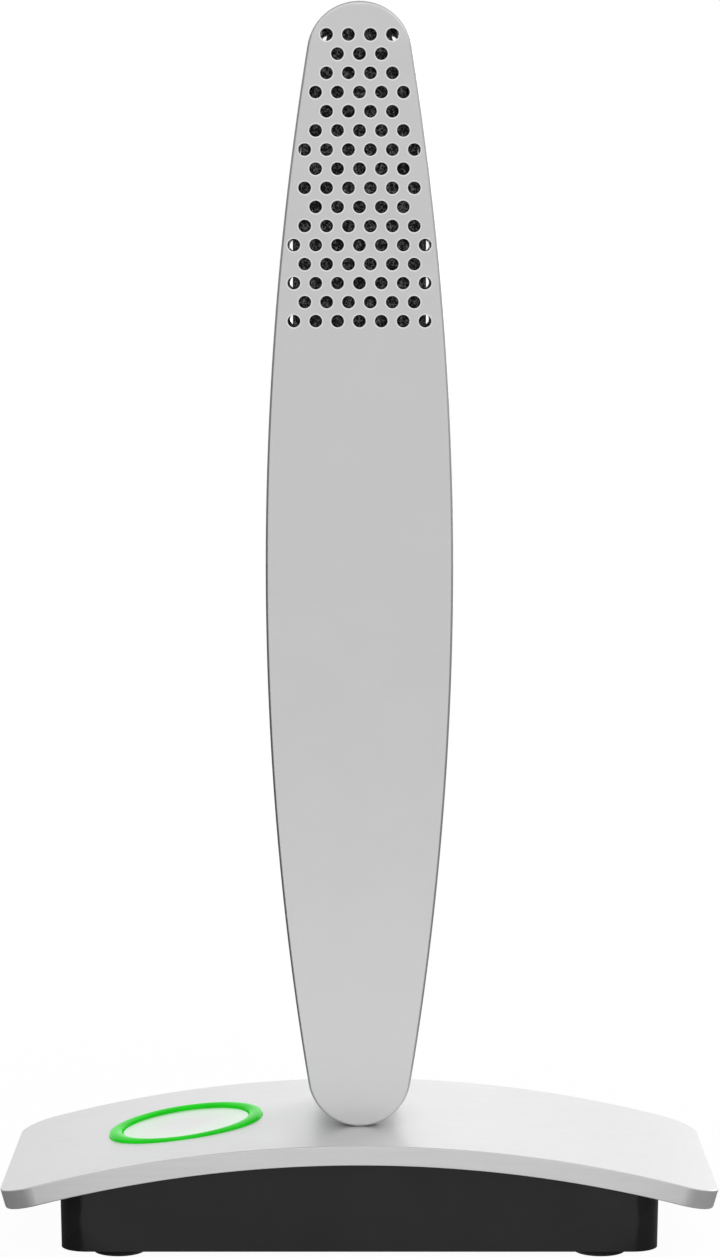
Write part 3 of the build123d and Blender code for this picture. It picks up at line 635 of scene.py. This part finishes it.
# The holeHighlight attribute marks where a painted highlight rings each hole: one as far out as the
# bright ring, nought from the flat collar's outer circle on.
def markHoleHighlights(mesh):
    reach = grille["hole"] / 2 + grille["bright"] + 0.02  # a little over, for the ring's own points
    places = np.array(holePlaces())
    points = readMesh(mesh.vertices, "co", 3)[:, (0, 2)] / mm - (0, uprightMiddle)
    away = np.linalg.norm(points[:, None] - places[None], axis=2).min(axis=1)
    rim = mesh.attributes.new("holeHighlight", "FLOAT", "POINT")
    rim.data.foreach_set("value", (away < reach).astype(np.float32))


# The band: the outline carrying a closed section, a flat strip with its edges rounded.
def makeBand():
    half = halfDepth - upright["panel"]
    soft = upright["bandRound"]
    outside = sideProfile(half, -half, soft, soft)
    inside = np.array([[-upright["wall"], -half], [-upright["wall"], half]])
    points, faces = carryProfile(*lensPath(), np.concatenate([outside, inside]), closed=True)
    placed = np.stack([points[:, 0], points[:, 2], points[:, 1] + uprightMiddle], -1)
    band = addPiece("uprightBand", mergedMesh("uprightBand", [(placed, faces)]))
    cutters = []
    for y, radius in footHoles:
        side = np.array([[0.0, arch["crown"] + 4], [0.0, arch["crown"] - 1]])
        rim = circlePath(0, y, radius, footHoleSides, hole=False) + (side,)
        cutters.append(addPiece("bandCutter", mergedMesh("bandCutter", piercedSheet([rim]))))
    cutPiece(band, cutters)
    return band


uprightLook = {
    "tone": (0.79, 0.79, 0.795), "line": (0.72, 0.72, 0.725), "bare": (0.88, 0.88, 0.88), "mottle": 0.025,
    "grain": 0.16, "stretch": 1.0, "streak": 0.8, "brushing": 0.1, "edge": 0.3, "wear": 0.2, "dust": 0.04,
    "roughness": 0.34, "relief": 2.0, "metal": 1.0, "rim": 1.0}
uprightFinish = satinAluminium("blastedAluminium", uprightLook)
bandFinish = satinAluminium("blastedBand", {**uprightLook, "metal": 0.6, "rim": 0.0})

for panelName, node, facing in (("frontGrille", "front_panel", -1), ("rearGrille", "rear_panel", 1)):
    panel = makePanel(panelName, facing)
    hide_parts(node)
    dress(panel, uprightFinish)
uprightBand = makeBand()
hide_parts("side_band")
dress(uprightBand, bandFinish)
print("upright made")


# Foam behind the holes

foamBlock = {"bottom": 148.1, "shoulder": 175.6, "top": 198.3, "inset": 1.4, "halfWidth": 10.7,
             "halfTop": 4.55, "halfDepth": 10.2, "corner": 0.7, "rows": 120, "cornerSteps": 8,
             "sharpAngle": 50.0}
foamHollow = {"barrelRadius": 8.75, "barrelSides": 64, "front": -7.15, "back": 2.1, "height": 173.5,
              "stalkHalfWidth": 3.8, "stalkHalfDepth": 2.8, "stalkCorner": 0.05}


# Each row is a rounded rectangle, as wide as the inset outline and the taper above the shoulders leave
# room for. The first and the last rows are drawn in by a quarter round.
def makeFoam():
    step = (1 - np.cos(np.linspace(0, math.pi, foamBlock["rows"]))) / 2
    height = foamBlock["bottom"] + (foamBlock["top"] - foamBlock["bottom"]) * step
    soft = foamBlock["corner"]
    nearest = np.minimum(height - foamBlock["bottom"], foamBlock["top"] - height)
    rise = np.clip(soft - nearest, 0, soft)
    drawnIn = soft - np.sqrt(soft ** 2 - rise ** 2)
    level = height - uprightMiddle
    _, end, endCentre, _, _ = lensNumbers()
    small = end - foamBlock["inset"]
    roof = np.sqrt(np.clip(small ** 2 - np.clip(level - endCentre, 0, None) ** 2, 0, None))
    room = np.where(level > endCentre, roof, lensHalfWidth(level) - foamBlock["inset"])
    taper = np.interp(height, [foamBlock["shoulder"], foamBlock["top"]],
                      [foamBlock["halfWidth"], foamBlock["halfTop"]])
    halfWidth = np.minimum(room, taper) - drawnIn
    half = foamBlock["halfDepth"] - drawnIn
    radius = np.minimum(soft, halfWidth)
    base, out = roundedPath(1, 1, 0, foamBlock["cornerSteps"])
    x = base[None, :, 0] * (halfWidth - radius)[:, None] + radius[:, None] * out[None, :, 0]
    y = base[None, :, 1] * (half - radius)[:, None] + radius[:, None] * out[None, :, 1]
    z = np.broadcast_to(height[:, None], x.shape)
    points = np.stack([x, y, z], -1)
    parts = [(points.reshape(-1, 3), gridQuads(len(height), len(base), False, True))]
    for end in (points[0], points[-1]):
        parts.append((end, np.array(tessellate_polygon([end[:, :2].tolist()]))))
    foam = addPiece("foamWindscreen", mergedMesh("foamWindscreen", parts), foamBlock["sharpAngle"])
    cutPiece(foam, foamCutters())
    return foam


# The hollow for the capsule's holder: a round barrel facing the speaker, and a square stalk.
def foamCutters():
    barrelSide = np.array([[0.0, foamHollow["back"]], [0.0, foamHollow["front"]]])
    circle = circlePath(0, foamHollow["height"], foamHollow["barrelRadius"], foamHollow["barrelSides"],
                        hole=False)
    barrel = [(points[:, (0, 2, 1)], faces) for points, faces in piercedSheet([circle + (barrelSide,)])]
    stalkSide = np.array([[0.0, foamHollow["height"]], [0.0, foamBlock["bottom"] - 1]])
    outline = roundedPath(foamHollow["stalkHalfWidth"], foamHollow["stalkHalfDepth"],
                          foamHollow["stalkCorner"], 3)
    stalk = piercedSheet([outline + (stalkSide,)])
    return [addPiece("barrelCutter", mergedMesh("barrelCutter", barrel)),
            addPiece("stalkCutter", mergedMesh("stalkCutter", stalk))]


foamWindscreen = makeFoam()
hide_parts("foam_windscreen")
foamFinish = openFoam("foamCells", {
    "cells": (0.55, 0.32), "cell": (0.006, 0.006, 0.0065), "strut": (0.36, 0.36, 0.37),
    "strutWidth": 0.16, "deeper": 0.55, "patch": 0.4, "shaded": 0.04, "relief": 120.0})
dress(foamWindscreen, foamFinish)
print("foam made")


# Arched plate

plateSheet = {"width": 116.0, "depth": 52.0, "thickness": 3.2, "corner": 6.0, "topRound": 0.18,
              "bottomRound": 0.25, "lipRound": 0.1, "strip": 1.45, "ringHole": 12.85, "ringSides": 120,
              "ringLean": 0.2}


# The plate is drawn flat, its length measured along the arch, cut across into strips and then bent. The
# ring's hole leans outward on its way down, so that it is square to the arch once it is bent.
def makePlate():
    radius = arch["radius"]
    halfLength = radius * math.asin(plateSheet["width"] / 2 / radius)
    thickness = plateSheet["thickness"]
    edge = sideProfile(0, -thickness, plateSheet["topRound"], plateSheet["bottomRound"], 4)
    outline = roundedPath(halfLength, plateSheet["depth"] / 2, plateSheet["corner"], 24)
    rims = [outline + (edge,)]
    lip = sideProfile(0, -thickness, plateSheet["lipRound"], plateSheet["lipRound"], 2)
    ringSide = lip - np.array([[plateSheet["ringLean"], 0]]) * (-lip[:, 1:] / thickness)
    ringPath = circlePath(arch["buttonArc"], 0, plateSheet["ringHole"], plateSheet["ringSides"])
    rims.append(ringPath + (ringSide,))
    for y, hole in footHoles:
        rims.append(circlePath(0, y, hole, footHoleSides) + (lip,))
    mesh = mergedMesh("archedPlate", piercedSheet(rims))
    work = bmesh.new()
    work.from_mesh(mesh)
    for place in np.arange(-halfLength, halfLength, plateSheet["strip"]):
        everything = work.verts[:] + work.edges[:] + work.faces[:]
        bmesh.ops.bisect_plane(work, geom=everything, dist=1e-7,
                               plane_co=(place * mm, 0, 0), plane_no=(1, 0, 0))
    work.to_mesh(mesh)
    work.free()
    bendToArch(mesh)
    return addPiece("archedPlate", mesh)


# A flat point goes out from the arch's centre by radius plus height, at the angle of its length over the
# radius.
def bendToArch(mesh):
    flat = readMesh(mesh.vertices, "co", 3)
    reach = arch["radius"] * mm + flat[:, 2]
    angle = flat[:, 0] / (arch["radius"] * mm)
    bent = np.stack([reach * np.sin(angle), flat[:, 1], archCentre * mm + reach * np.cos(angle)], -1)
    mesh.vertices.foreach_set("co", bent.ravel())
    mesh.update()


plateFinish = satinAluminium("plateAluminium", {
    "tone": (0.77, 0.77, 0.775), "line": (0.68, 0.68, 0.685), "bare": (0.88, 0.88, 0.88), "mottle": 0.03,
    "grain": 0.18, "stretch": 0.05, "streak": 0.55, "brushing": 0.45, "edge": 0.3, "wear": 0.4,
    "dust": 0.08, "roughness": 0.42, "relief": 5.0, "metal": 0.74, "rim": 0.0})

archedPlate = makePlate()
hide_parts("base_plate")
dress(archedPlate, plateFinish)
print("plate made")


# The CAD's own pieces that stay

keptPieces = {"weld": 0.002, "sharpAngle": 30.0}


# A modifier that welds a piece, splits its sharp edges and weighs each vertex's normal by area squared.
def makeSmoothing():
    tree = bpy.data.node_groups.new("weldAndSmooth", "GeometryNodeTree")
    for side in ("INPUT", "OUTPUT"):
        tree.interface.new_socket("Geometry", in_out=side, socket_type="NodeSocketGeometry")
    given = tree.nodes.new("NodeGroupInput").outputs[0]
    plain = addNode(tree, "GeometryNodeRemoveAttribute", {"Geometry": given, "Name": "custom_normal"})
    weld = addNode(tree, "GeometryNodeMergeByDistance",
                   {"Geometry": plain.outputs["Geometry"], "Distance": keptPieces["weld"] * mm})
    faces = addNode(tree, "GeometryNodeSetShadeSmooth",
                    {"Geometry": weld.outputs["Geometry"], "Shade Smooth": True}, domain="FACE")
    angle = addNode(tree, "GeometryNodeInputMeshEdgeAngle").outputs["Unsigned Angle"]
    limit = math.radians(keptPieces["sharpAngle"])
    sharp = addNode(tree, "FunctionNodeCompare", {0: angle, 1: limit}, operation="GREATER_THAN")
    split = addNode(tree, "GeometryNodeSplitEdges",
                    {"Mesh": faces.outputs["Geometry"], "Selection": sharp.outputs[0]})
    area = addNode(tree, "GeometryNodeInputMeshFaceArea").outputs["Area"]
    grown = calculate(tree, "MULTIPLY", area, 1 / mm ** 2)
    weight = calculate(tree, "MULTIPLY", grown, grown)
    facing = addNode(tree, "GeometryNodeInputNormal").outputs["Normal"]
    weighed = addNode(tree, "ShaderNodeVectorMath", {0: facing, "Scale": weight}, operation="SCALE")
    gathered = addNode(tree, "GeometryNodeFieldOnDomain", {"Value": weighed.outputs["Vector"]},
                       data_type="FLOAT_VECTOR", domain="FACE")
    mean = addNode(tree, "ShaderNodeVectorMath", {0: gathered.outputs["Value"]}, operation="NORMALIZE")
    turned = {"Mesh": split.outputs["Mesh"], "Custom Normal": mean.outputs["Vector"]}
    placed = addNode(tree, "GeometryNodeSetMeshNormal", turned, mode="FREE", domain="POINT")
    tree.links.new(placed.outputs["Mesh"], tree.nodes.new("NodeGroupOutput").inputs[0])
    return tree


smoothing = makeSmoothing()


# Nodes that stay get the modifier and their finish.
def keepNodes(material, *names):
    for name in names:
        node = nodes[name]
        step = node.modifiers.new("weldAndSmooth", "NODES")
        step.node_group = smoothing
        node.data.materials.clear()
        node.data.materials.append(material)


keepNodes(mouldedPlastic("tubPlastic", {
    "tone": (0.0095, 0.0095, 0.01), "rubbed": (0.03, 0.03, 0.032), "shine": 0.3, "grain": 0.22,
    "edge": 0.3, "wear": 0.35, "dust": 0.03, "roughness": 0.18, "relief": 2.5}), "base_housing")
keepNodes(mattRubber("footRubber", {
    "tone": (0.014, 0.014, 0.014), "bloom": (0.03, 0.03, 0.029), "rough": (0.68, 0.86),
    "grain": 0.25, "relief": 8.0}),
    "front_left_foot", "rear_left_foot", "front_right_foot", "rear_right_foot")
keepNodes(litResin("litGreenResin", {
    "glow": 0.68, "shine": 0.06, "lamps": 8.0, "rough": (0.16, 0.26), "grain": 0.3, "relief": 1.5,
    "resin": (0.003, 0.22, 0.003), "milk": (0.008, 0.28, 0.008), "dim": (0.008, 0.5, 0.008),
    "bright": (0.014, 0.62, 0.014), **buttonFrame}), "light_ring")
keepNodes(turnedSilver("buttonSilver", {
    "tone": (0.7, 0.7, 0.702), "dark": (0.67, 0.67, 0.672), "bare": (0.8, 0.8, 0.8), "ring": 0.14,
    "inner": 1.0, "outer": 10.5, "spill": (0.0, 0.1, 0.0), "grain": 0.2, "edge": 0.25, "wear": 0.4,
    "roughness": 0.34, "relief": 1.5, **buttonFrame}), "mute_button_cap")
keepNodes(castAlloy("castAlloy", {
    "tone": (0.6, 0.6, 0.61), "oxide": (0.42, 0.42, 0.43), "rough": (0.45, 0.62), "grain": 0.3,
    "pit": 0.9, "relief": 15.0}),
    "foot_block", "plate_standoffs", "microphone_capsule")
keepNodes(mouldedPlastic("corePlastic", {
    "tone": (0.07, 0.07, 0.078), "rubbed": (0.14, 0.14, 0.15), "shine": 0.4, "grain": 0.25, "edge": 0.3,
    "wear": 0.2, "dust": 0.0, "roughness": 0.5, "relief": 5.0}),
    "core_moulding", "capsule_holder", "button_carrier")
keepNodes(mattRubber("leadJacket", {
    "tone": (0.045, 0.045, 0.045), "bloom": (0.07, 0.07, 0.068), "rough": (0.68, 0.86),
    "grain": 0.2, "relief": 5.0}),
    "microphone_lead")
keepNodes(workedSteel("zincScrews", {
    "tone": (0.56, 0.56, 0.57), "stain": (0.48, 0.47, 0.42), "bright": (0.72, 0.72, 0.73),
    "along": (1.0, 1.0, 0.1), "grain": 0.1, "roughness": 0.26, "relief": 2.0}),
    "upright_screws", "housing_screws", "board_screws", "carrier_screws")
keepNodes(workedSteel("rolledBallast", {
    "tone": (0.36, 0.36, 0.37), "stain": (0.25, 0.23, 0.21), "bright": (0.5, 0.5, 0.51),
    "along": (0.05, 1.0, 1.0), "grain": 0.2, "roughness": 0.38, "relief": 4.0}), "ballast_weight")
keepNodes(workedSteel("socketShell", {
    "tone": (0.7, 0.7, 0.71), "stain": (0.62, 0.61, 0.59), "bright": (0.82, 0.82, 0.83),
    "along": (1.0, 0.1, 1.0), "grain": 0.08, "roughness": 0.2, "relief": 1.5}), "usb_socket")
keepNodes(workedSteel("componentCans", {
    "tone": (0.7, 0.7, 0.71), "stain": (0.6, 0.6, 0.58), "bright": (0.8, 0.8, 0.8),
    "along": (1.0, 1.0, 0.2), "grain": 0.1, "roughness": 0.22, "relief": 1.5}), "board_components")
keepNodes(mouldedPlastic("chipPlastic", {
    "tone": (0.022, 0.022, 0.023), "rubbed": (0.06, 0.06, 0.06), "shine": 0.4, "grain": 0.1, "edge": 0.1,
    "wear": 0.2, "dust": 0.0, "roughness": 0.55, "relief": 4.0}),
    "usb_tongue", "codec_chip", "switch_body")
keepNodes(mouldedPlastic("connectorPlastic", {
    "tone": (0.74, 0.73, 0.69), "rubbed": (0.85, 0.84, 0.8), "shine": 0.5, "grain": 0.15, "edge": 0.15,
    "wear": 0.2, "dust": 0.0, "roughness": 0.4, "relief": 3.0}),
    "lead_connector", "main_ribbon_connector", "board_ribbon_connector", "button_ribbon",
    "switch_plunger")
keepNodes(solderMask("solderMask", {
    "tone": (0.018, 0.15, 0.065), "copper": (0.06, 0.26, 0.11), "deep": (0.012, 0.1, 0.045), "track": 2.2,
    "rough": (0.3, 0.42), "grain": 0.3, "relief": 20.0}), "main_board", "button_board", "capsule_board")
keepNodes(lampResin("lampResin", {
    "phosphor": (0.85, 0.8, 0.35), "clear": (0.9, 0.9, 0.8), "rough": (0.1, 0.25), "grain": 0.15,
    "relief": 3.0}), "ring_lamps")
print("kept nodes dressed")


# Floor, world and lamps

# Levels of light; a strength of one is white.
studio = {"floorTone": (0.83, 0.83, 0.83), "floorGlow": 0.97, "floorNear": 0.78, "floorMiddle": 0.94,
          "floorFar": 0.75, "floorLeft": 0.08, "floorRight": 0.2,
          "ambient": 0.5, "side": 0.24, "right": 0.3, "top": 0.2, "front": 0.45, "frontBox": 0.7,
          "backLeft": 0.78, "backRight": 1.42, "backFarRight": 0.55}
# Where the floor's levels change, in metres: near and far along Y, beside along X, aside across the
# bright strip, and shadow out from the middle.
floorBands = {"near": (-0.09, -0.13), "far": (-0.15, -0.27), "beside": (-0.05, 0.05),
              "aside": (0.024, 0.036), "shadow": (0.07, 0.35)}
# Where the world's levels change, along X, Y or Z of a direction whose length is one.
wallBands = {"behind": (0.45, 0.75), "across": (-0.25, 0.25), "beyond": (0.03, 0.2),
             "front": (-0.84, -0.93), "right": (0.0, 0.9), "top": (0.5, 0.9), "low": (0.18, 0.38),
             "high": (0.7, 0.85), "ahead": (-0.2, -0.45)}
floorSheet = {"radius": 4000.0, "rings": 24, "sides": 96, "fibre": 3.0}


# White to the camera, with the object's shadow close to it. Reflections see a bright strip ahead of the
# object, in three levels from near to far, and a dim floor on both sides of it.
def addFloor():
    turn = np.linspace(0, 2 * math.pi, floorSheet["sides"], endpoint=False)
    radius = floorSheet["radius"] * np.linspace(0, 1, floorSheet["rings"]) ** 2
    x = radius[:, None] * np.cos(turn)[None, :]
    y = radius[:, None] * np.sin(turn)[None, :]
    points = np.stack([x, y, np.zeros_like(x)], -1).reshape(-1, 3)
    mesh = mergedMesh("studioFloor", [(points, gridQuads(*x.shape, False, True))])
    if mesh.polygons[0].normal.z < 0:
        mesh.flip_normals()
    floor = addPiece("studioFloor", mesh)
    material, tree, where = newFinish("paleFloor", {"Roughness": 0.9, "Specular IOR Level": 0.1})
    paper = spreadNoise(tree, noiseAt(tree, where, floorSheet["fibre"], 3.0), 0.0, 1.0)
    pale = tuple(value + 0.01 for value in studio["floorTone"])
    shader = tree.nodes["Principled BSDF"]
    tree.links.new(mixColours(tree, paper, studio["floorTone"], pale), shader.inputs["Base Color"])
    axes = addNode(tree, "ShaderNodeSeparateXYZ", {"Vector": where}).outputs
    out = fromAxis(tree, axes)
    white = remap(tree, out, *floorBands["shadow"], studio["floorGlow"], 1.0, smooth=True)
    path = addNode(tree, "ShaderNodeLightPath").outputs
    seen = calculate(tree, "MAXIMUM", path["Is Camera Ray"], path["Is Transmission Ray"])
    far = remap(tree, axes["Y"], *floorBands["far"], studio["floorMiddle"], studio["floorFar"],
                smooth=True)
    near = remap(tree, axes["Y"], *floorBands["near"], 1.0, 0.0, smooth=True)
    ahead = mixValues(tree, near, far, studio["floorNear"])
    beside = remap(tree, axes["X"], *floorBands["beside"], studio["floorLeft"], studio["floorRight"])
    spread = calculate(tree, "ADD", calculate(tree, "ABSOLUTE", axes["X"]),
                       calculate(tree, "MULTIPLY", axes["Y"], 0.5))  # the strip widens as it goes ahead
    aside = remap(tree, spread, *floorBands["aside"], 0.0, 1.0, smooth=True)
    strength = mixValues(tree, seen, mixValues(tree, aside, ahead, beside), 1.0)
    glow = addNode(tree, "ShaderNodeEmission", {"Color": (1, 1, 1, 1), "Strength": strength}).outputs[0]
    lit = calculate(tree, "MAXIMUM", seen, path["Is Glossy Ray"])
    share = calculate(tree, "MULTIPLY", lit, white)
    mix = addNode(tree, "ShaderNodeMixShader", {0: share, 1: shader.outputs[0], 2: glow}).outputs[0]
    tree.links.new(mix, tree.nodes["Material Output"].inputs["Surface"])
    floor.data.materials.append(material)


# White for the camera. Reflections see white behind, a dark wall on the left and a paler one on the
# right, grey above, a pale wall in front and a panel above that wall. Diffuse light is even.
def addWorld():
    world = bpy.data.worlds.new("studioWorld")
    bpy.context.scene.world = world
    world.use_nodes = True
    tree = world.node_tree
    background = tree.nodes["Background"]
    background.inputs["Color"].default_value = (1, 1, 1, 1)
    direction = addNode(tree, "ShaderNodeTexCoord").outputs["Generated"]
    axes = addNode(tree, "ShaderNodeSeparateXYZ", {"Vector": direction}).outputs

    def band(label, axis, start, end):
        return remap(tree, axes[axis], *wallBands[label], start, end, smooth=True)

    across = band("across", "X", studio["backLeft"], studio["backRight"])
    beyond = band("beyond", "X", 1.0, studio["backFarRight"])
    back = calculate(tree, "MULTIPLY", band("behind", "Y", 0.0, 1.0), across)
    back = calculate(tree, "MULTIPLY", back, beyond)
    front = band("front", "Y", 0.0, studio["front"])
    right = band("right", "X", 0.0, studio["right"])
    top = band("top", "Z", 0.0, studio["top"])
    low = band("low", "Z", 0.0, studio["frontBox"])
    box = calculate(tree, "MULTIPLY", low, band("high", "Z", 1.0, 0.0))
    box = calculate(tree, "MULTIPLY", box, band("ahead", "Y", 0.0, 1.0))
    level = studio["side"]
    for part in (back, front, right, top, box):
        level = calculate(tree, "ADD", part, level)
    path = addNode(tree, "ShaderNodeLightPath").outputs
    mirrored = calculate(tree, "MAXIMUM", path["Is Glossy Ray"], path["Is Transmission Ray"])
    reflected = mixValues(tree, mirrored, studio["ambient"], level)
    strength = mixValues(tree, path["Is Camera Ray"], reflected, 1.0)
    tree.links.new(strength, background.inputs["Strength"])


lampAim = (0, 0, 0.08)
lamps = {"topSoftbox": {"place": (0.35, 0.5, 0.65), "size": 0.45, "power": 3.6},
         "frontSoftbox": {"place": (0.25, -0.9, 0.45), "size": 0.7, "power": 1.4},
         "leftFill": {"place": (-0.8, -0.3, 0.4), "size": 0.6, "power": 1.2},
         "backSoftbox": {"place": (0.55, 0.75, 0.3), "size": 0.45, "power": 1.2, "mirrored": True}}


# A round soft lamp, aimed at a point over the plate's middle. Its disc shows in reflections only where
# mirrored is set.
def addLamp(name, place, size, power, mirrored=False):
    data = bpy.data.lights.new(name, "AREA")
    data.shape = "DISK"
    data.size = size
    data.energy = power
    lamp = bpy.data.objects.new(name, data)
    lamp.location = place
    aim = Vector(lampAim) - lamp.location
    lamp.rotation_euler = aim.to_track_quat("-Z", "Y").to_euler()
    lamp.visible_glossy = mirrored
    bpy.context.scene.collection.objects.link(lamp)


addFloor()
addWorld()
for lampName, settings in lamps.items():
    addLamp(lampName, **settings)
print("studio set")
